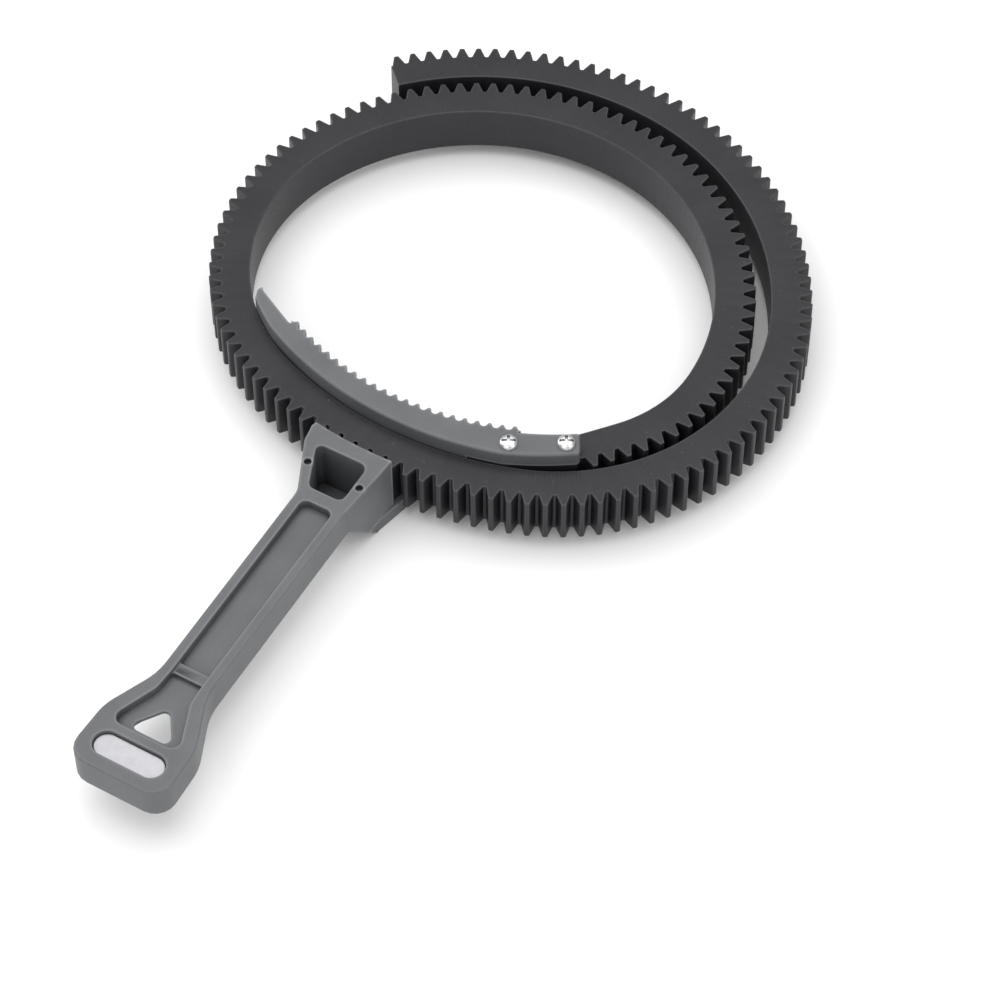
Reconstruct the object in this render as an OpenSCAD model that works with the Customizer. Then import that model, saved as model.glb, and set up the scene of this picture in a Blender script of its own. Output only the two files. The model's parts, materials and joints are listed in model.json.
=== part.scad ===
// Flexible lens gear ring with a focusing lever.
// A toothed belt runs one and a half turns round the lens axis. Its start is screwed into a ribbed
// shoe, and its outer layer lies in a slot between that shoe and the toothed head of the lever.
// The origin is on the axis of the belt's inner turn, in the plane of the belt's lower edge.
// +Z points out of the slot, and the lever points along -Y.

/* [Belt] */
// Height of the belt along the lens axis
belt_height = 7.5; // [6.5:0.1:8.5]
// Thickness of the belt under its teeth
belt_body = 4.2; // [3.8:0.1:4.4]
// Module of the belt's teeth
tooth_module = 0.8; // [0.78:0.01:0.82]
// Teeth in each of the short lengths that let the tail bend
teeth_per_length = 5; // [5:1:5]
// Saw cut between neighbouring lengths of belt
belt_cut = 0.06; // [0.04:0.01:0.1]

/* [Shoe] */
// Thickness of the shoe's plates above and below the belt
plate = 2.4; // [2:0.1:2.8]
// Radius through the tips of the shoe's ribs
rib_tip_r = 44.1; // [43.9:0.1:44.3]
// How far the ribs stand out of the shoe's inner face
rib_height = 1.1; // [0.9:0.1:1.1]
// Number of ribs
rib_count = 22; // [18:1:22]
// Gap between the shoe and the belt in the slot
slot_gap = 0.3; // [0.2:0.05:0.4]

/* [Lever] */
// Distance from the lens axis to the lever's end
lever_reach = 98; // [94:1:104]
// Width of the lever's bar
bar_w = 7.8; // [7:0.1:8.4]
// Thickness of the lever's bar
bar_t = 5.2; // [4.6:0.1:5.6]
// Width of the lever's flared end
end_w = 15.2; // [14:0.1:16]
// Depth of the long recesses in the bar
recess_depth = 1.35; // [1:0.05:1.6]

/* [Screws] */
// Diameter of the screw heads
screw_head_d = 2.6; // [2.4:0.1:2.8]
// Diameter of the screw shanks
screw_d = 1.6; // [1.4:0.1:1.8]

/* [Hidden] */
$fn = 72;
eps = 0.01;

// Belt teeth, as a rack with straight flanks
pitch = PI * tooth_module;
flank = 20;
addendum = tooth_module;
dedendum = 1.25 * tooth_module;
pitch_line = belt_body + dedendum;
belt_tip = pitch_line + addendum;
tip_half = pitch / 4 - addendum * tan(flank);
root_half = pitch / 4 + dedendum * tan(flank);
tip_round = 0.14;

// Inner face of the belt after its straight start: radius and sweep of each arc
arcs = [[4, 19.4], [240, 1.35], [20, 41.1], [34.3, 78.4], [34.9, 81.1], [28.9, 87.1],
    [54, 41.9], [30.2, 48.9], [32.4, 43.1], [42.5, 116.2]];
inner_arc = 3;
locked_arc = 6;
// Turn of the belt's straight start from the X axis
ring_turn = 30;
tongue_l = 13;

function sum_to(list, n) = n <= 0 ? 0 : list[n - 1] + sum_to(list, n - 1);
arc_run = [for (a = arcs) (a[0] + pitch_line) * a[1] * PI / 180];
run_at = [for (i = [0:len(arcs)]) sum_to(arc_run, i)];
heading_at = [for (i = [0:len(arcs)]) sum_to([for (a = arcs) a[1]], i)];
function out(heading) = [sin(heading), -cos(heading)];
// Centres of the arcs, first with the belt's start at the origin, then about the inner turn's axis
function raw_centre(i) = i == 0 ? [tongue_l, arcs[0][0]]
    : raw_centre(i - 1) + (arcs[i - 1][0] - arcs[i][0]) * out(heading_at[i]);
start = -raw_centre(inner_arc);
function centre(i) = start + raw_centre(i);

// Place on the belt: u runs along the pitch line from the first arc, d is measured out of the inner face
function arc_index(u) = len([for (i = [1:len(arcs) - 1]) if (run_at[i] <= u) i]);
function belt_heading(u) = let (i = arc_index(u))
    heading_at[i] + (u - run_at[i]) / (arcs[i][0] + pitch_line) * 180 / PI;
function belt_point(u, d) = let (i = arc_index(u)) centre(i) + (arcs[i][0] + d) * out(belt_heading(u));

// One tooth stands on the line from the slot's centre along the lever
lever_tooth_u = run_at[locked_arc]
    + (360 - ring_turn - heading_at[locked_arc]) * PI / 180 * (arcs[locked_arc][0] + pitch_line);
first_gap_u = lever_tooth_u + pitch / 2;
gap_phase = first_gap_u - pitch * floor(first_gap_u / pitch);
function gap_u(k) = gap_phase + k * pitch;

// Tooth gaps where the belt's lengths begin and end
first_gap = 0;
crossover_gap = 50;
locked_gap = 72;
tail_gap = 103;

// Turns a plan point of the ring's frame into the part's frame
function turned(p) = [p.x * cos(ring_turn) - p.y * sin(ring_turn),
    p.x * sin(ring_turn) + p.y * cos(ring_turn)];
slot_centre = turned(centre(locked_arc));
slot_r = arcs[locked_arc][0];
tooth_angle = pitch / (slot_r + pitch_line) * 180 / PI;

// Shoe, in the ring's frame, with its own two arcs
rib_centre = [10.9, 15.8];
rib_root_r = rib_tip_r + rib_height;
shoe_centre = [9.04, 10.63];
shoe_out_r = 43.7;
shoe_top = belt_height + plate;
shoe_end_x = start.x + 14.3;
shoe_clip = [[shoe_end_x, -29.2, 0.7], [11.5, -29.2, 0], [6, -28, 0], [-29, -1.62, 0],
    [-31.75, -2.67, 0.9], [-32.1, -4.6, 0], [-34, -10, 0], [-40, -40, 0], [6, -36, 0], [12, -33.3, 0],
    [shoe_end_x, -32.85, 1.1]];
shoe_wedge = [[-32, 1.9], [-30.9, -3.1], [-27.1, -8.96], [-22, -11]];
fork_x = start.x - 1.5;
belt_start_x = fork_x + 0.3;
rib_first = 214.2;
rib_last = 262.7;
screw_at = [[start.x + 4.3, start.y - 3.4], [start.x + 12.35, start.y - 3.45]];
screw_head_h = 0.9;
screw_reach = 1.7;
screw_clear = 0.1;

// Lever, in the part's frame
lever_x = 2;
lever_top = shoe_top;
bar_z = lever_top - bar_t;
neck_y = -46.3;
flare_y = -81.2;
head_clear = 0.25;
head_tip_clear = 0.6;
head_tip_w = 0.16;
head_flank = 27;
head_ramp = 1.45;
head_teeth = [-4, -3, -2, -1, 0];
head_left = -5.9;
head_left_corner = [-6.15, -35.6, 0.5];
head_right = 6.8;
gusset_back = [-45.8, bar_z];
gusset_slope = 1.1;
gusset_foot_y = gusset_back.x + (bar_z + plate) / gusset_slope;
under_screws = [[-3.3, -36.75], [5, -36.9]];
under_screw_d = 1.4;
under_screw_l = 7;
under_head_d = 2.6;
under_head_h = 0.75;
badge_l = 10.8;
badge_w = 3.8;
badge_y = 4 - lever_reach;
badge_sunk = 0.6;
badge_t = 0.8;
badge_gap = 0.1;

// Outline with round corners, from [x, y, radius] points
function unit(v) = v / norm(v);
function span(a) = a > 180 ? a - 360 : a < -180 ? a + 360 : a;
function round_corner(a, p, b, r, n = 5) = r <= 0 ? [p] :
    let (u = unit(a - p), v = unit(b - p), half = acos(u * v) / 2,
         c = p + unit(u + v) * r / sin(half), f = p + u * r / tan(half), g = p + v * r / tan(half),
         from = atan2(f.y - c.y, f.x - c.x), turn = span(atan2(g.y - c.y, g.x - c.x) - from))
    [for (i = [0:n]) c + r * [cos(from + turn * i / n), sin(from + turn * i / n)]];
function xy(p) = [p[0], p[1]];
function rounded(points) = [for (i = [0:len(points) - 1])
    let (n = len(points), a = points[(i + n - 1) % n], b = points[(i + 1) % n])
    each round_corner(xy(a), xy(points[i]), xy(b), points[i][2])];
// Both sides of an outline that mirrors about the lever's centre line
function both_sides(side) = concat(
    [for (p = side) [lever_x - p[0], p[1], p[2]]],
    [for (i = [len(side) - 1:-1:0]) [lever_x + side[i][0], side[i][1], side[i][2]]]);

module ring_frame() {
    rotate([0, 0, ring_turn])
        children();
}

module slab(points, low, high) {
    translate([0, 0, low])
        linear_extrude(high - low)
            polygon(points);
}

// Solid seen from +X as an outline in [y, z]
module side_slab(points, from_x, to_x) {
    translate([from_x, 0, 0])
        rotate([90, 0, 90])
            linear_extrude(to_x - from_x)
                polygon(points);
}

module disc(place, r, low, high) {
    translate([place.x, place.y, low])
        cylinder(r = r, h = high - low);
}

// Belt with teeth from one tooth gap to a later one, less half a saw cut at each end
function inner_face(from, to) = [for (k = [2 * from:2 * to])
    belt_point(gap_u(k / 2) + (k == 2 * from ? belt_cut / 2 : k == 2 * to ? -belt_cut / 2 : 0), 0)];
function tooth(k) = let (mid = gap_u(k + 0.5)) [
    belt_point(mid - root_half, belt_body),
    belt_point(mid - tip_half, belt_tip - tip_round),
    belt_point(mid - tip_half + tip_round, belt_tip),
    belt_point(mid + tip_half - tip_round, belt_tip),
    belt_point(mid + tip_half, belt_tip - tip_round),
    belt_point(mid + root_half, belt_body)];
function outer_face(from, to) = concat(
    [belt_point(gap_u(from) + belt_cut / 2, belt_body)],
    [for (k = [from:to - 1]) each tooth(k)],
    [belt_point(gap_u(to) - belt_cut / 2, belt_body)]);
function backwards(list) = [for (i = [len(list) - 1:-1:0]) list[i]];

module belt_length(from, to) {
    ring_frame()
        slab(concat(inner_face(from, to), backwards(outer_face(from, to))), 0, belt_height);
}

// The thicker start of the belt lies between the shoe's plates, cut back to the slot's face
module belt_start() {
    lug_t = 5.2;
    lug_end_u = 0.9;
    steps = 4;
    curve = [for (i = [0:steps]) gap_u(first_gap) * i / steps];
    lug_curve = [for (u = curve) if (u < lug_end_u) u];
    ring_frame()
        intersection() {
            slab(concat(
                [[belt_start_x, start.y]],
                [for (u = curve) belt_point(u, 0)],
                [belt_point(gap_u(first_gap), belt_body), belt_point(lug_end_u, belt_body)],
                [for (u = backwards(lug_curve)) belt_point(u, lug_t)],
                [[belt_start_x, start.y - lug_t]]), 0, belt_height);
            disc(centre(locked_arc), slot_r - slot_gap, -eps, belt_height + eps);
        }
}

module belt_inner_turn() {
    color("#3f3f43")
        difference() {
            union() {
                belt_start();
                belt_length(first_gap, crossover_gap);
                ring_frame()
                    slab([for (p = [[-1, 0], [1, 0], [1, belt_body], [-1, belt_body]])
                        belt_point(gap_u(first_gap) + p[0] * belt_cut, p[1])], 0, belt_height);
            }
            ring_frame()
                for (p = screw_at)
                    disc(p, screw_d / 2 + screw_clear, -eps, belt_height + eps);
        }
}

module belt_crossover() {
    color("#434347")
        belt_length(crossover_gap, locked_gap);
}

module belt_locked_length() {
    color("#3b3b3f")
        belt_length(locked_gap, tail_gap);
}

module belt_tail(i) {
    from = tail_gap + (i - 1) * teeth_per_length;
    color(i % 2 == 0 ? "#434347" : "#3b3b3f")
        belt_length(from, from + teeth_per_length);
}

// Crescent of the shoe between its rib root and its outer face, clear of the belt in the slot
module shoe_crescent() {
    difference() {
        intersection() {
            disc(shoe_centre, shoe_out_r, -plate, shoe_top);
            disc(centre(locked_arc), slot_r - slot_gap, -plate, shoe_top);
            slab(rounded(shoe_clip), -plate, shoe_top);
        }
        disc(rib_centre, rib_root_r, -plate - eps, shoe_top + eps);
        slab(shoe_wedge, -plate - eps, shoe_top + eps);
    }
}

// Ribs as one comb with rounded valleys, with its back inside the shoe
rib_side = [[rib_tip_r + 0.72, 0.86], [rib_tip_r + 0.66, 0.62], [rib_tip_r + 0.48, 0.43],
    [rib_tip_r + 0.26, 0.32], [rib_tip_r + 0.08, 0.21], [rib_tip_r, 0.08]];
function rib_point(angle, r, across) = rib_centre
    + r * [cos(angle), sin(angle)] + across * [-sin(angle), cos(angle)];
function rib_angle(i) = rib_first + (rib_last - rib_first) * i / (rib_count - 1);
comb = concat(
    [for (i = [0:rib_count - 1]) each concat(
        [for (p = rib_side) rib_point(rib_angle(i), p[0], -p[1])],
        [for (j = [len(rib_side) - 1:-1:0]) rib_point(rib_angle(i), rib_side[j][0], rib_side[j][1])])],
    [for (i = [rib_count - 1:-1:0]) rib_point(rib_angle(i), rib_root_r + 0.4, 0)]);

// Floor of the slot, from under the shoe to under the lever's head
module slot_floor() {
    difference() {
        slot_floor_plate();
        for (p = under_screws)
            translate([p.x, p.y, -plate])
                rotate_extrude()
                    polygon([[0, -1], [under_head_d / 2 + 0.1, -1], [under_head_d / 2 + 0.1, 0.05],
                        [under_screw_d / 2 + 0.1, under_head_h + 0.05], [under_screw_d / 2 + 0.1, plate + 1],
                        [0, plate + 1]]);
    }
}

module slot_floor_plate() {
    intersection() {
        slab(rounded([[-8, -27, 0], [8.9, -27, 0], [8.1, -31.8, 0], [6.5, -39, 0], [6.4, -42, 0],
            [-4.5, -42, 0], [-6, -38.1, 1], [-7.2, -33, 2]]), -plate, 0);
        side_slab([[gusset_foot_y, -plate], [-20, -plate], [-20, 0],
            [gusset_foot_y - plate / gusset_slope, 0]], -20, 20);
    }
}

module buckle_shoe() {
    color("#808386")
        ring_frame()
            union() {
                rotate([0, 0, -ring_turn])
                    slot_floor();
                difference() {
                    union() {
                        shoe_crescent();
                        slab(comb, -plate, shoe_top);
                    }
                    translate([fork_x, -40, 0])
                        cube([40, 30, belt_height]);
                    for (p = screw_at) {
                        disc(p, screw_d / 2 + screw_clear, belt_height - eps, shoe_top + eps);
                        disc(p, screw_d / 2, -screw_reach, eps);
                    }
                }
            }
}

// Plan outlines of the lever
function end_side() = [[0, -lever_reach, 0], [end_w / 2, -lever_reach, 3],
    [end_w / 2 - 0.3, -lever_reach + 9, 8], [bar_w / 2, flare_y, 10]];

// Teeth of the lever's head stand in the tooth gaps of the belt, and slope down towards their tips
head_tip_r = slot_r + belt_body + head_tip_clear;
head_root_r = slot_r + belt_tip + head_clear;
head_root_w = head_tip_w + (head_root_r - head_tip_r) * tan(head_flank);
function head_point(angle, r, across) = slot_centre
    + r * [sin(angle), -cos(angle)] + across * [cos(angle), sin(angle)];
head_tooth_side = [[head_root_r, head_root_w], [head_tip_r, head_tip_w], [head_tip_r, -head_tip_w],
    [head_root_r, -head_root_w]];
function head_tooth(k, points) = [for (i = [0:points - 1])
    let (q = head_point((k + 0.5) * tooth_angle, head_tooth_side[i][0], head_tooth_side[i][1])) [q.x, q.y, 0]];
function head_corner(x) = [x, slot_centre.y - sqrt(pow(head_root_r, 2) - pow(x - slot_centre.x, 2)), 0];
function lever_outline() = concat(
    [head_left_corner, [head_left + 0.1, -38.1, 1.5], [lever_x - bar_w / 2, neck_y, 3]],
    [for (p = backwards(end_side())) if (p[0] > 0) [lever_x - p[0], p[1], p[2]]],
    [for (p = end_side()) if (p[0] > 0) [lever_x + p[0], p[1], p[2]]],
    [[lever_x + bar_w / 2, neck_y, 3], [head_right - 0.2, -38.3, 1.5], head_corner(head_right)],
    [for (k = backwards(head_teeth)) each head_tooth(k, k == head_teeth[0] ? 3 : 4)]);

long_recess = both_sides([[2.4, neck_y - 0.8, 1], [2.4, -78.2, 0.3]]);
end_recess = both_sides([[2.4, -80, 0.3], [2.6, -83.4, 4], [5.5, 7.4 - lever_reach, 1.3]]);
bridge_recess = both_sides([[2.4, -77.4, 0], [2.4, -83.4, 0]]);
bridge_sunk = 0.6;
window = [[lever_x + 0.2, -84.7, 0.8], [lever_x + 3.7, -89.7, 0.8], [lever_x - 3.3, -89.7, 0.8]];
// Recesses in the underside, which leave a thin web
under_web = 1.2;
end_web = 0.6;
under_long = both_sides([[2.2, neck_y - 3, 1], [2.2, -78.2, 0.8]]);
under_end = both_sides([[2, -81, 0.8], [2.3, -83.6, 4], [5.2, 7.9 - lever_reach, 1.3]]);
head_pocket = [[-3.9, -37.9, 0.8], [4.4, -37.9, 1.2], [4.4, -44.9, 1], [-0.9, -44.9, 1.2]];
pocket_floor_z = 1.2;
pin_marks = [[-3.3, -41.3], [5.3, -41.7]];
pin_mark_d = 1.1;
pin_mark_depth = 0.8;

module stadium(l, w, low, high) {
    translate([lever_x, badge_y, low]) {
        translate([-(l - w) / 2, -w / 2, 0])
            cube([l - w, w, high - low]);
        for (side = [-1, 1])
            translate([side * (l - w) / 2, 0, 0])
                cylinder(d = w, h = high - low);
    }
}

module lever_arm() {
    color("#7b7d81")
        difference() {
            intersection() {
                slab(rounded(lever_outline()), 0, lever_top);
                side_slab([[-lever_reach - 1, bar_z], gusset_back,
                    [gusset_back.x + bar_z / gusset_slope, 0], [-30, 0],
                    [-30, lever_top + 1], [-lever_reach - 1, lever_top + 1]], -20, 20);
            }
            slab(rounded(long_recess), lever_top - recess_depth, lever_top + eps);
            slab(rounded(end_recess), lever_top - recess_depth, lever_top + eps);
            slab(rounded(bridge_recess), lever_top - bridge_sunk, lever_top + eps);
            slab(rounded(window), bar_z - eps, lever_top);
            slab(rounded(under_long), bar_z - eps, lever_top - recess_depth - under_web);
            slab(rounded(under_end), bar_z - eps, lever_top - recess_depth - end_web);
            translate([slot_centre.x, slot_centre.y, lever_top])
                rotate_extrude()
                    polygon([[head_root_r - 4, -4 * head_ramp], [head_root_r, 0], [head_root_r, 1],
                        [head_root_r - 4, 1]]);
            for (p = under_screws)
                disc(p, under_screw_d / 2, -eps, under_screw_l - plate);
            intersection() {
                slab(rounded(head_pocket), pocket_floor_z, lever_top + eps);
                side_slab([[-46, lever_top + 1], [-46, pocket_floor_z + 5.5 * gusset_slope],
                    [-40.5, pocket_floor_z], [-36, pocket_floor_z], [-36, lever_top + 1]], -20, 20);
            }
            for (p = pin_marks)
                disc(p, pin_mark_d / 2, lever_top - pin_mark_depth, lever_top + eps);
            stadium(badge_l, badge_w, lever_top - badge_sunk - badge_t, lever_top + eps);
        }
}

module badge_inlay() {
    color("#d9dade")
        stadium(badge_l - 2 * badge_gap, badge_w - 2 * badge_gap,
            lever_top - badge_sunk - badge_t, lever_top - badge_sunk);
}

// Countersunk screw from below, through the slot's floor into the lever's head
module under_screw(p) {
    color("#c9cacc")
        translate([p.x, p.y, -plate])
            difference() {
                rotate_extrude()
                    polygon([[0, 0.05], [under_head_d / 2, 0.05], [under_screw_d / 2, under_head_h],
                        [under_screw_d / 2, under_screw_l], [0, under_screw_l]]);
                for (a = [0, 90])
                    rotate([0, 0, a])
                        translate([-0.65, -0.16, -1])
                            cube([1.3, 0.32, 1.4]);
            }
}

// Pan-head screw with a cross recess, head up
module belt_screw(p) {
    head_r = screw_head_d / 2;
    slot_w = 0.42;
    slot_l = 2;
    slot_depth = 0.6;
    color("#c9cacc")
        ring_frame()
            translate([p.x, p.y, shoe_top])
                difference() {
                    union() {
                        rotate_extrude()
                            polygon([[0, 0], [head_r, 0], [head_r, 0.35], [head_r * 0.9, 0.62],
                                [head_r * 0.7, 0.8], [head_r * 0.4, screw_head_h], [0, screw_head_h]]);
                        translate([0, 0, -plate - belt_height - screw_reach])
                            cylinder(d = screw_d, h = plate + belt_height + screw_reach + eps);
                    }
                    for (a = [0, 90])
                        rotate([0, 0, a])
                            translate([-slot_l / 2, -slot_w / 2, screw_head_h - slot_depth])
                                cube([slot_l, slot_w, 1]);
                }
}

lever_arm();
buckle_shoe();
badge_inlay();
belt_screw(screw_at[0]);  // belt_screw_inner
belt_screw(screw_at[1]);  // belt_screw_end
under_screw(under_screws[0]);  // lever_screw_left
under_screw(under_screws[1]);  // lever_screw_right
belt_inner_turn();
belt_crossover();
belt_locked_length();
for (i = [1:10])
    belt_tail(i);
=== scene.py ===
import json
import math

import bmesh
import bpy
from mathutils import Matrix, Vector


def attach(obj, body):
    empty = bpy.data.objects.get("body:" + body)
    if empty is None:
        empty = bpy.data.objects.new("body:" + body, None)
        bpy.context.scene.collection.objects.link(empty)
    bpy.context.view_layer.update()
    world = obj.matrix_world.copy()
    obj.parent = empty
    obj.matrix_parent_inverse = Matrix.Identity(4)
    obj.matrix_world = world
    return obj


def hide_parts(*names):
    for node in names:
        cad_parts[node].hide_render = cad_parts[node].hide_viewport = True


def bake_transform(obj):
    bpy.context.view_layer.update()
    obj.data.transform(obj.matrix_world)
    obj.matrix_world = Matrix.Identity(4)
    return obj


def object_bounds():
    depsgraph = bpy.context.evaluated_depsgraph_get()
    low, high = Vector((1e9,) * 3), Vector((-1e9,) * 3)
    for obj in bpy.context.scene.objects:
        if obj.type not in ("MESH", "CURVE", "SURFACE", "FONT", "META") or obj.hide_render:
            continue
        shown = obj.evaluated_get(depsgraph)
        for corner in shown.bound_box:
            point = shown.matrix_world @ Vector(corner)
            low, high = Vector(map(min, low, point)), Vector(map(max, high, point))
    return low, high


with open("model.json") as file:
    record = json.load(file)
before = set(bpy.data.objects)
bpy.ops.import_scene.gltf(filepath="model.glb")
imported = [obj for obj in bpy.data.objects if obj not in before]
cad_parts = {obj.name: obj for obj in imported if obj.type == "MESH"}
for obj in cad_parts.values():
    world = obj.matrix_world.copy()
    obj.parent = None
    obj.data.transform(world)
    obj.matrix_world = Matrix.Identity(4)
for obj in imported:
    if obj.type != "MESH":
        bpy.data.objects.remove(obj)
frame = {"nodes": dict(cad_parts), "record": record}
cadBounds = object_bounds()
nodes = frame["nodes"]
mm = 0.001

# camera: where it stands and looks, in metres
cameraPlace = {
    "position": (0.17033, -0.28855, 0.3988),
    "target": (0.01953, -0.02736, 0.0),
    "lens": 127.5,
    "sensor": 36,
    "nearest": 0.01,
}


def addObject(name, data):
    made = bpy.data.objects.new(name, data)
    bpy.context.scene.collection.objects.link(made)
    return made


def placeCamera():
    camera = addObject("camera", bpy.data.cameras.new("camera"))
    camera.location = cameraPlace["position"]
    looking = Vector(cameraPlace["target"]) - Vector(cameraPlace["position"])
    camera.rotation_euler = looking.to_track_quat("-Z", "Y").to_euler()
    camera.data.lens = cameraPlace["lens"]
    camera.data.sensor_width = cameraPlace["sensor"]
    camera.data.clip_start = cameraPlace["nearest"]
    bpy.context.scene.camera = camera


placeCamera()
print("camera in place")


# belt route, seen from above, in millimetres and degrees: the inner face is a run of arcs
# after a straight start, and u is measured along the line that the teeth are spaced on
beltRoute = {
    "arcs": [(4, 19.4), (240, 1.35), (20, 41.1), (34.3, 78.4), (34.9, 81.1), (28.9, 87.1),
             (54, 41.9), (30.2, 48.9), (32.4, 43.1), (42.5, 116.2)],
    "innerArc": 3,      # the arc whose centre is the ring's axis
    "lockedArc": 6,     # the arc that lies in the slot
    "straight": 13,
    "turn": 30,
}
beltShape = {
    "height": 7.5,
    "body": 4.2,        # thickness under the teeth
    "module": 0.8,
    "flank": 20,
    "rootDepth": 1.25,  # depth of a gap under the pitch line, in modules
    # points of the rounded root and tip, as (along, depth) from their corners
    "rootRound": [(-0.07, 0.01), (0.01, 0.08), (0.08, 0.27)],
    "tipRound": [(-0.09, 0.28), (-0.02, 0.1), (0.07, 0.02), (0.17, 0)],
    "edge": 0.13,       # rounding of the long edges
    "lug": 5.2,         # the thicker start between the shoe's plates
    "lugStart": -14.47,
    "lugEnd": 0.9,
    "lugStep": 0.75,    # length of one facet of the start's curved face
    "lugCorner": 0.02,
    "slotFace": 53.7,   # the start is cut back to this radius of the slot
}

pitch = math.pi * beltShape["module"]
rootDepth = beltShape["rootDepth"] * beltShape["module"]
toothLine = beltShape["body"] + rootDepth
toothTip = toothLine + beltShape["module"]


def outward(heading):
    return Vector((math.sin(math.radians(heading)), -math.cos(math.radians(heading))))


def layOutArcs():
    runs, headings = [0.0], [0.0]
    for radius, sweep in beltRoute["arcs"]:
        runs.append(runs[-1] + (radius + toothLine) * math.radians(sweep))
        headings.append(headings[-1] + sweep)
    arcs = beltRoute["arcs"]
    centres = [Vector((beltRoute["straight"], arcs[0][0]))]
    for i in range(1, len(arcs)):
        centres.append(centres[-1] + (arcs[i - 1][0] - arcs[i][0]) * outward(headings[i]))
    start = -centres[beltRoute["innerArc"]]
    return runs, headings, [start + c for c in centres], start


runs, headings, centres, routeStart = layOutArcs()


# place on the belt in millimetres: along it, and out of its inner face
def beltPoint(u, depth):
    arcs = beltRoute["arcs"]
    if u < 0:
        spot = routeStart + Vector((beltRoute["straight"] + u, -depth))
    else:
        i = sum(1 for k in range(1, len(arcs)) if runs[k] <= u)
        heading = headings[i] + math.degrees((u - runs[i]) / (arcs[i][0] + toothLine))
        spot = centres[i] + (arcs[i][0] + depth) * outward(heading)
    turn = math.radians(beltRoute["turn"])
    return Vector((spot.x * math.cos(turn) - spot.y * math.sin(turn),
                   spot.x * math.sin(turn) + spot.y * math.cos(turn)))


# one tooth stands on the lever's line, which sets where the gaps are
def findGapPhase():
    locked = beltRoute["lockedArc"]
    toLever = math.radians(360 - beltRoute["turn"] - headings[locked])
    leverTooth = runs[locked] + toLever * (beltRoute["arcs"][locked][0] + toothLine)
    return (leverTooth + pitch / 2) % pitch


gapPhase = findGapPhase()


def gapAt(k):
    return gapPhase + k * pitch


# half a tooth as (distance from the gap's middle, depth), with round roots and tips
def toothProfile():
    slope = math.tan(math.radians(beltShape["flank"]))
    root = pitch / 4 - rootDepth * slope
    tip = pitch / 2 - (pitch / 4 - beltShape["module"] * slope)
    body = beltShape["body"]
    rooted = [(root + x, body + d) for x, d in beltShape["rootRound"]]
    tipped = [(tip + x, toothTip - d) for x, d in beltShape["tipRound"]]
    return [(0, body)] + rooted + tipped + [(pitch / 2, toothTip)]


profile = toothProfile()


def toothedStations(fromGap, toGap):
    stations = []
    for k in range(fromGap, toGap):
        stations += [(gapAt(k) + x, d) for x, d in profile]
        stations += [(gapAt(k + 1) - x, d) for x, d in reversed(profile[1:-1])]
    return stations + [(gapAt(toGap), beltShape["body"])]


def lugStations():
    slotCentre = centres[beltRoute["lockedArc"]]
    stations = []
    u = beltShape["lugStart"]
    while u < beltShape["lugEnd"]:
        across = routeStart.x + beltRoute["straight"] + u - slotCentre.x
        room = math.sqrt(beltShape["slotFace"] ** 2 - across ** 2) - (slotCentre.y - routeStart.y)
        stations.append((u, min(beltShape["lug"], room)))
        u += beltShape["lugStep"]
    stations.append((beltShape["lugEnd"] - beltShape["lugCorner"], beltShape["lug"]))
    stations.append((beltShape["lugEnd"], beltShape["body"]))
    return stations


# edge rounding as (inset from the wall, inset from the face), in shares of its size
edgeCurve = [(0, 1), (0.12, 0.5), (0.5, 0.12), (1, 0)]


def planNormals(points):
    normals = []
    for i in range(len(points)):
        along = points[min(i + 1, len(points) - 1)] - points[max(i - 1, 0)]
        along.normalize()
        normals.append(Vector((along.y, -along.x)))
    return normals


def buildStrip(name, stations, closedStart=False, closedEnd=False):
    inner = [beltPoint(u, 0) for u, d in stations]
    outer = [beltPoint(u, d) for u, d in stations]
    inNormals, outNormals = planNormals(inner), planNormals(outer)
    edge, high = beltShape["edge"], beltShape["height"]
    verts, faces = [], []
    back = list(reversed(edgeCurve))
    for i in range(len(stations)):
        fromOuter, fromInner = -outNormals[i] * edge, inNormals[i] * edge
        # once round the cross-section: along the top from the outer wall to the inner, then back below
        loop = [(outer[i] + fromOuter * wall, high - edge * face) for wall, face in edgeCurve]
        loop += [(inner[i] + fromInner * wall, high - edge * face) for wall, face in back]
        loop += [(inner[i] + fromInner * wall, edge * face) for wall, face in edgeCurve]
        loop += [(outer[i] + fromOuter * wall, edge * face) for wall, face in back]
        verts += [(p.x * mm, p.y * mm, z * mm) for p, z in loop]
    around = 4 * len(edgeCurve)
    for i in range(len(stations) - 1):
        for j in range(around):
            a, b = i * around + j, i * around + (j + 1) % around
            faces.append((a, b, b + around, a + around))
    if closedStart:
        faces.append(tuple(reversed(range(around))))
    if closedEnd:
        last = (len(stations) - 1) * around
        faces.append(tuple(range(last, last + around)))
    mesh = bpy.data.meshes.new(name)
    mesh.from_pydata(verts, [], faces)
    mesh.validate()
    mesh.update()
    for face in mesh.polygons:
        face.use_smooth = True
    return addObject(name, mesh)


# flatFirst lets flat faces rule over the rounded edges beside them
def weightNormals(piece, flatFirst=False):
    weighting = piece.modifiers.new("steady shading", "WEIGHTED_NORMAL")
    weighting.keep_sharp = True
    weighting.use_face_influence = flatFirst
    weighting.weight = 60


# node helpers
def newMaterial(name):
    material = bpy.data.materials.new(name)
    material.use_nodes = True
    return material, material.node_tree, material.node_tree.nodes["Principled BSDF"]


def noise(tree, coords, scale, detail, rough=0.5):
    texture = tree.nodes.new("ShaderNodeTexNoise")
    texture.inputs["Scale"].default_value = scale
    texture.inputs["Detail"].default_value = detail
    texture.inputs["Roughness"].default_value = rough
    tree.links.new(coords, texture.inputs["Vector"])
    return texture.outputs["Fac"]


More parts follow.
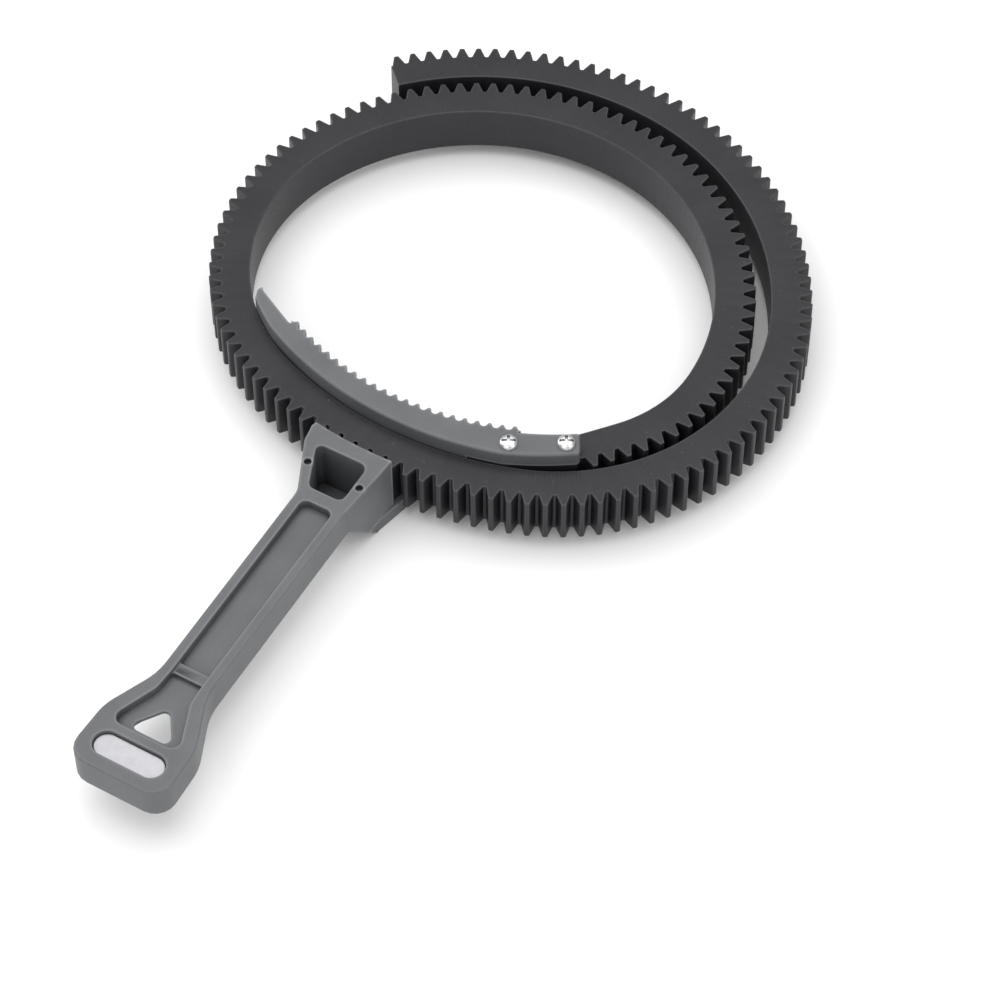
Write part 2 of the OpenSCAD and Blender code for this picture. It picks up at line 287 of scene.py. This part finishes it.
def ramp(tree, source, stops):
    node = tree.nodes.new("ShaderNodeValToRGB")
    while len(node.color_ramp.elements) < len(stops):
        node.color_ramp.elements.new(0.5)
    for element, (place, colour) in zip(node.color_ramp.elements, stops):
        element.position = place
        element.color = (*colour, 1) if len(colour) == 3 else (colour[0],) * 3 + (1,)
    tree.links.new(source, node.inputs["Fac"])
    return node.outputs["Color"]


def mixColours(tree, factor, first, second, kind="MIX"):
    node = tree.nodes.new("ShaderNodeMix")
    node.data_type = "RGBA"
    node.blend_type = kind
    for socket, value in ((0, factor), (6, first), (7, second)):
        if isinstance(value, (int, float)):
            node.inputs[socket].default_value = value
        elif isinstance(value, tuple):
            node.inputs[socket].default_value = (*value, 1)
        else:
            tree.links.new(value, node.inputs[socket])
    return node.outputs[2]


def addBump(tree, shader, height, strength, distance):
    node = tree.nodes.new("ShaderNodeBump")
    node.inputs["Strength"].default_value = strength
    node.inputs["Distance"].default_value = distance
    tree.links.new(height, node.inputs["Height"])
    tree.links.new(node.outputs["Normal"], shader.inputs["Normal"])


# share of the base colour that is left in creases; alone leaves out the pieces around
def creaseShade(tree, reach, least, alone=True):
    node = tree.nodes.new("ShaderNodeAmbientOcclusion")
    node.only_local = alone
    node.samples = 8
    node.inputs["Distance"].default_value = reach
    return ramp(tree, node.outputs["AO"], [(0.2, (least,)), (0.65, (1.0,))])


# painted highlight: mask of the outer edges, where light catches their rounding
def edgeHighlightMask(tree, reach, most):
    node = tree.nodes.new("ShaderNodeAmbientOcclusion")
    node.only_local = True
    node.inside = True
    node.samples = 6
    node.inputs["Distance"].default_value = reach
    return ramp(tree, node.outputs["AO"], [(0.35, (most,)), (0.9, (0.0,))])


def objectCoords(tree):
    return tree.nodes.new("ShaderNodeTexCoord").outputs["Object"]


def setRoughness(tree, shader, source, lowest, highest):
    tree.links.new(ramp(tree, source, [(0.3, (lowest,)), (0.7, (highest,))]), shader.inputs["Roughness"])


# satin grey moulding: fine spark-eroded grain, faint cloudiness, with a painted highlight along the outer
# edges and painted shade in creases
gripFinish = {
    "dark": (0.092, 0.095, 0.101),
    "light": (0.110, 0.114, 0.121),
    "cloud": 160,
    "grain": 5200,
    "grainDepth": 0.00003,
    "bump": 0.35,
    "creaseReach": 0.003,
    "creaseLeast": 0.22,
    # painted highlight: the lighter colour laid along the outer edges
    "edge": (0.27, 0.28, 0.29),
    "highlightReach": 0.0005,
    "highlightMost": 0.75,
    "roughness": (0.40, 0.56),
}


def makeGripGrey():
    material, tree, shader = newMaterial("grip grey")
    coords = objectCoords(tree)
    cloud = noise(tree, coords, gripFinish["cloud"], 4)
    grain = noise(tree, coords, gripFinish["grain"], 3, 0.6)
    base = ramp(tree, cloud, [(0.3, gripFinish["dark"]), (0.7, gripFinish["light"])])
    speck = ramp(tree, grain, [(0.34, (0.9,)), (0.5, (1.0,)), (0.68, (1.08,))])
    # painted highlight along the outer edges, mixed into the base colour
    edges = edgeHighlightMask(tree, gripFinish["highlightReach"], gripFinish["highlightMost"])
    grainAndHighlight = mixColours(tree, edges, mixColours(tree, 1.0, base, speck, "MULTIPLY"), gripFinish["edge"])
    creases = creaseShade(tree, gripFinish["creaseReach"], gripFinish["creaseLeast"])
    tree.links.new(mixColours(tree, 1.0, grainAndHighlight, creases, "MULTIPLY"), shader.inputs["Base Color"])
    setRoughness(tree, shader, grain, *gripFinish["roughness"])
    addBump(tree, shader, grain, gripFinish["bump"], gripFinish["grainDepth"])
    return material


# black moulded rubber-like belt, with fine light dust specks, a painted highlight along its edges and
# painted shade in creases
beltFinish = {
    "dark": (0.0150, 0.0142, 0.0172),
    "light": (0.0215, 0.0203, 0.0245),
    "speck": (0.11, 0.11, 0.12),
    "cloud": 110,
    "dust": 1500,
    "grain": 3800,
    "grainDepth": 0.00003,
    "bump": 0.45,
    "creaseReach": 0.002,
    "creaseLeast": 0.1,
    # painted highlight: the lighter colour laid along the belt's edges
    "edge": (0.125, 0.122, 0.132),
    "highlightReach": 0.0003,
    "highlightMost": 1.0,
    "roughness": (0.36, 0.52),
    "specular": 0.32,
}


def makeBeltBlack():
    material, tree, shader = newMaterial("belt black")
    coords = objectCoords(tree)
    cloud = noise(tree, coords, beltFinish["cloud"], 5)
    grain = noise(tree, coords, beltFinish["grain"], 4, 0.65)
    dust = noise(tree, coords, beltFinish["dust"], 2, 0.8)
    base = ramp(tree, cloud, [(0.32, beltFinish["dark"]), (0.68, beltFinish["light"])])
    dustMask = ramp(tree, dust, [(0.70, (0.0,)), (0.78, (0.55,))])
    # painted highlight along the belt's edges, mixed into the base colour
    edges = edgeHighlightMask(tree, beltFinish["highlightReach"], beltFinish["highlightMost"])
    highlighted = mixColours(tree, edges, base, beltFinish["edge"])
    dusty = mixColours(tree, dustMask, highlighted, beltFinish["speck"])
    creases = creaseShade(tree, beltFinish["creaseReach"], beltFinish["creaseLeast"])
    tree.links.new(mixColours(tree, 1.0, dusty, creases, "MULTIPLY"), shader.inputs["Base Color"])
    shader.inputs["Specular IOR Level"].default_value = beltFinish["specular"]
    setRoughness(tree, shader, grain, *beltFinish["roughness"])
    addBump(tree, shader, grain, beltFinish["bump"], beltFinish["grainDepth"])
    return material


# satin bright inlay, lightly mottled
badgeFinish = {
    "low": (0.38, 0.38, 0.40),
    "high": (0.45, 0.45, 0.47),
    "mottle": 900,
    "roughness": (0.28, 0.48),
    "metallic": 0.4,
    "bump": 0.3,
    "depth": 0.00002,
}


def makeBadgeSilver():
    material, tree, shader = newMaterial("badge silver")
    coords = objectCoords(tree)
    mottle = noise(tree, coords, badgeFinish["mottle"], 5, 0.7)
    silver = ramp(tree, mottle, [(0.35, badgeFinish["low"]), (0.6, badgeFinish["high"])])
    tree.links.new(silver, shader.inputs["Base Color"])
    setRoughness(tree, shader, mottle, *badgeFinish["roughness"])
    shader.inputs["Metallic"].default_value = badgeFinish["metallic"]
    addBump(tree, shader, mottle, badgeFinish["bump"], badgeFinish["depth"])
    return material


# bright screws, faintly mottled
screwFinish = {
    "low": (0.70, 0.70, 0.72),
    "high": (0.78, 0.78, 0.79),
    "mark": 2600,
    "roughness": (0.34, 0.42),
    "creaseReach": 0.0005,
    "creaseLeast": 0.3,
}


def makeScrewSteel():
    material, tree, shader = newMaterial("screw steel")
    coords = objectCoords(tree)
    mark = noise(tree, coords, screwFinish["mark"], 4, 0.6)
    steel = ramp(tree, mark, [(0.3, screwFinish["low"]), (0.6, screwFinish["high"])])
    creases = creaseShade(tree, screwFinish["creaseReach"], screwFinish["creaseLeast"], False)
    tree.links.new(mixColours(tree, 1.0, steel, creases, "MULTIPLY"), shader.inputs["Base Color"])
    setRoughness(tree, shader, mark, *screwFinish["roughness"])
    shader.inputs["Metallic"].default_value = 1.0
    return material


finishes = {
    "grip_grey": makeGripGrey(),
    "belt_black": makeBeltBlack(),
    "badge_silver": makeBadgeSilver(),
    "screw_steel": makeScrewSteel(),
}
print("finishes made")


# belt lengths: gaps where each strip begins and ends
beltLengths = {
    "crossover": 50,
    "locked": 72,
    "tail": 103,
    "step": 5,
    "tails": 10,
    "before": 3,       # teeth of a tail strip before its hinge
    "bend": 2,         # teeth on either side of a hinge
}


def finishStrip(strip, *replaced):
    strip.data.materials.append(finishes["belt_black"])
    weightNormals(strip)
    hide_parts(*replaced)


def makeBelt():
    crossover, locked, tail = beltLengths["crossover"], beltLengths["locked"], beltLengths["tail"]
    step, tails, before = beltLengths["step"], beltLengths["tails"], beltLengths["before"]

    strip = buildStrip("belt_inner_turn_strip", lugStations() + toothedStations(0, crossover)[1:], True)
    finishStrip(strip, "belt_inner_turn")
    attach(strip, "grip")

    strip = buildStrip("belt_crossover_strip", toothedStations(crossover, locked))
    finishStrip(strip, "belt_crossover")
    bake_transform(strip)

    strip = buildStrip("belt_locked_strip", toothedStations(locked, tail - before))
    finishStrip(strip, "belt_locked_length")
    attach(strip, "belt_outer")

    for i in range(1, tails + 1):
        hinge = tail + (i - 1) * step
        toGap = hinge - before + step if i < tails else hinge + step
        stations = toothedStations(hinge - before, toGap)
        strip = buildStrip(f"belt_tail_strip_{i}", stations, closedEnd=i == tails)
        finishStrip(strip, f"belt_tail_{i}")
        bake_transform(strip)


makeBelt()
print("belt made")


# the other pieces are copies of their solids with moulded edges; roundings in millimetres
leverEdges = {
    "outer": 0.36,          # round the bar and its end
    "head": 0.16,           # sides and pocket of the head
    "rims": 0.13,           # recesses, window and the badge's slot
    "marks": 0.06,          # the two small round marks on the head
    "markPlaces": [(-3.3, -41.3), (5.3, -41.7)],
    "markReach": 0.8,
    "bottom": 0.1,          # the underside keeps its corners
    "teethFrom": -36.2,     # and so do the teeth
    "headFrom": -46.9,
    "endFrom": -96.4,
    "middle": 2,
    "halfWidths": [(-98, 7.6), (-89, 7.3), (-81.2, 3.9), (-46.3, 3.9)],
    "outerBand": 1.15,      # an edge this near to the bar's side is an outer one
}
shoeEdges = {
    "outer": 0.42,
    "floor": 0.1,           # plate under the lever's head
    "floorTo": -33.5,
    "ribCentre": (1.54, 19.13),
    "crispWithin": 45.6,    # the ribs' side keeps its crisp rim
    "crispNear": 1.2,       # so do the tip and the screw holes
    "tip": (-25.86, -17.82),
    "tipRounding": 0.04,
    "growth": 0.06,         # rounding gained for each millimetre away from the tip
    "top": 9.9,
    "bottom": -2.4,
    "rim": 0.05,            # how near to the top or bottom an edge has to be
}
screwSpots = [
    sum((Vector(corner) for corner in nodes[name].bound_box), Vector()).xy / 8 / mm
    for name in ("belt_screw_inner", "belt_screw_end")
]
slotOf = {part["node"]: part["material_slot"] for part in frame["record"]["subparts"]}


def leverRounding(p):
    if p.y > leverEdges["teethFrom"] or p.z < leverEdges["bottom"]:
        return 0
    if p.y > leverEdges["headFrom"]:
        fromMark = min((p.xy - Vector(mark)).length for mark in leverEdges["markPlaces"])
        return leverEdges["marks"] if fromMark < leverEdges["markReach"] else leverEdges["head"]
    places = leverEdges["halfWidths"]
    for (y0, w0), (y1, w1) in zip(places, places[1:]):
        if y0 <= p.y <= y1:
            half = w0 + (w1 - w0) * (p.y - y0) / (y1 - y0)
            atSide = abs(p.x - leverEdges["middle"]) > half - leverEdges["outerBand"]
            return leverEdges["outer"] if atSide or p.y < leverEdges["endFrom"] else leverEdges["rims"]
    return leverEdges["outer"]


# only the top and bottom rims are rounded, and the rounding runs out towards the tip
def shoeRounding(p):
    if shoeEdges["bottom"] + shoeEdges["rim"] < p.z < shoeEdges["top"] - shoeEdges["rim"]:
        return 0
    if p.y < shoeEdges["floorTo"] and p.z < 0:
        return shoeEdges["floor"]
    fromTip = (p.xy - Vector(shoeEdges["tip"])).length
    inScrewHole = any((p.xy - spot).length < shoeEdges["crispNear"] for spot in screwSpots)
    onRibSide = (p.xy - Vector(shoeEdges["ribCentre"])).length < shoeEdges["crispWithin"]
    if fromTip < shoeEdges["crispNear"] or inScrewHole or onRibSide:
        return 0
    return min(shoeEdges["outer"], shoeEdges["tipRounding"] + shoeEdges["growth"] * fromTip)


# how a copy is made, in millimetres and degrees
moulding = {
    "weld": 0.003,
    "flat": 0.4,            # faces within this angle are made one
    "sharpest": 28,         # softer corners than this are left as they are
    "shortest": 0.1,        # an edge shorter than this would fold a wide rounding over
    "wide": 0.3,            # and such a short edge is closed up
    "segments": 3,
}


def middleOf(edge):
    return (edge.verts[0].co + edge.verts[1].co) / 2 / mm


def mouldedCopy(name, node, rounding, widest, sharpest=moulding["sharpest"]):
    work = bmesh.new()
    work.from_mesh(nodes[node].data)
    bmesh.ops.remove_doubles(work, verts=work.verts, dist=moulding["weld"] * mm)
    flat = math.radians(moulding["flat"])
    bmesh.ops.dissolve_limit(work, angle_limit=flat, verts=work.verts, edges=work.edges)
    short = [edge for edge in work.edges if edge.calc_length() < moulding["shortest"] * mm]
    bmesh.ops.collapse(work, edges=[edge for edge in short if rounding(middleOf(edge)) > moulding["wide"]])
    weights = work.edges.layers.float.new("bevel_weight_edge")
    for edge in work.edges:
        if len(edge.link_faces) != 2 or edge.calc_face_angle(0) < math.radians(sharpest):
            continue
        if edge.is_convex:
            edge[weights] = rounding(middleOf(edge)) / widest
        edge.smooth = edge[weights] > 0
    mesh = bpy.data.meshes.new(name)
    work.to_mesh(mesh)
    work.free()
    for face in mesh.polygons:
        face.use_smooth = True
    piece = addObject(name, mesh)
    piece.data.materials.append(finishes[slotOf[node]])
    bevel = piece.modifiers.new("moulded edges", "BEVEL")
    bevel.width = widest * mm
    bevel.segments = moulding["segments"]
    bevel.limit_method = "WEIGHT"
    bevel.use_clamp_overlap = False
    bevel.miter_outer = "MITER_ARC"
    bevel.face_strength_mode = "FSTR_AFFECTED"
    weightNormals(piece, True)
    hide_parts(node)
    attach(piece, "grip")


badgeTop = {"rounding": 0.14, "above": 9.2}
# only the recess's corners on the flat top of a dome are rounded; the dome itself is shaded smooth
screwDome = {"rounding": 0.03, "sharpest": 46, "height": 0.9, "within": 0.02}


def badgeRounding(p):
    return badgeTop["rounding"] if p.z > badgeTop["above"] else 0


def screwRounding(p):
    above = p.z - shoeEdges["top"] - screwDome["height"]
    return screwDome["rounding"] if abs(above) < screwDome["within"] else 0


mouldedCopy("moulded_lever", "lever_arm", leverRounding, leverEdges["outer"])
mouldedCopy("moulded_shoe", "buckle_shoe", shoeRounding, shoeEdges["outer"])
mouldedCopy("bare_badge", "badge_inlay", badgeRounding, badgeTop["rounding"])
for place in ("belt_screw_inner", "belt_screw_end", "lever_screw_left", "lever_screw_right"):
    mouldedCopy(f"turned_{place}", place, screwRounding, screwDome["rounding"], screwDome["sharpest"])
print("lever, shoe, badge and screws made")


# floor and light: a pale table under one large soft box, with weak light from the sides
studio = {
    "floorSize": 3.0,
    "floorColour": (0.9, 0.9, 0.9),
    "floorRoughness": 0.9,
    "ambient": 0.42,
    "lights": [
        # name, from, power, size
        ("soft box", (-0.1, 0.1, 1.1), 15.0, 1.6),
        ("front", (0.05, -0.75, 0.4), 1.5, 0.6),
        ("side", (0.7, -0.1, 0.35), 1.3, 0.5),
        ("left", (-0.7, -0.05, 0.25), 2.0, 0.5),
    ],
}


def makeStudio():
    half = studio["floorSize"] / 2
    low = cadBounds[0][2]
    mesh = bpy.data.meshes.new("floor")
    mesh.from_pydata([(-half, -half, low), (half, -half, low), (half, half, low), (-half, half, low)],
                     [], [(0, 1, 2, 3)])
    floor = addObject("floor", mesh)
    material, _, shader = newMaterial("pale floor")
    shader.inputs["Base Color"].default_value = (*studio["floorColour"], 1)
    shader.inputs["Roughness"].default_value = studio["floorRoughness"]
    floor.data.materials.append(material)
    for name, place, power, size in studio["lights"]:
        lamp = bpy.data.lights.new(name, "AREA")
        lamp.energy = power
        lamp.size = size
        light = addObject(name, lamp)
        light.location = place
        light.rotation_euler = (-Vector(place)).to_track_quat("-Z", "Y").to_euler()
    world = bpy.data.worlds.new("world")
    bpy.context.scene.world = world
    world.use_nodes = True
    background = world.node_tree.nodes["Background"]
    background.inputs["Color"].default_value = (1, 1, 1, 1)
    background.inputs["Strength"].default_value = studio["ambient"]
    bpy.context.scene.view_settings.view_transform = "Standard"


makeStudio()
print("floor and lights in place")
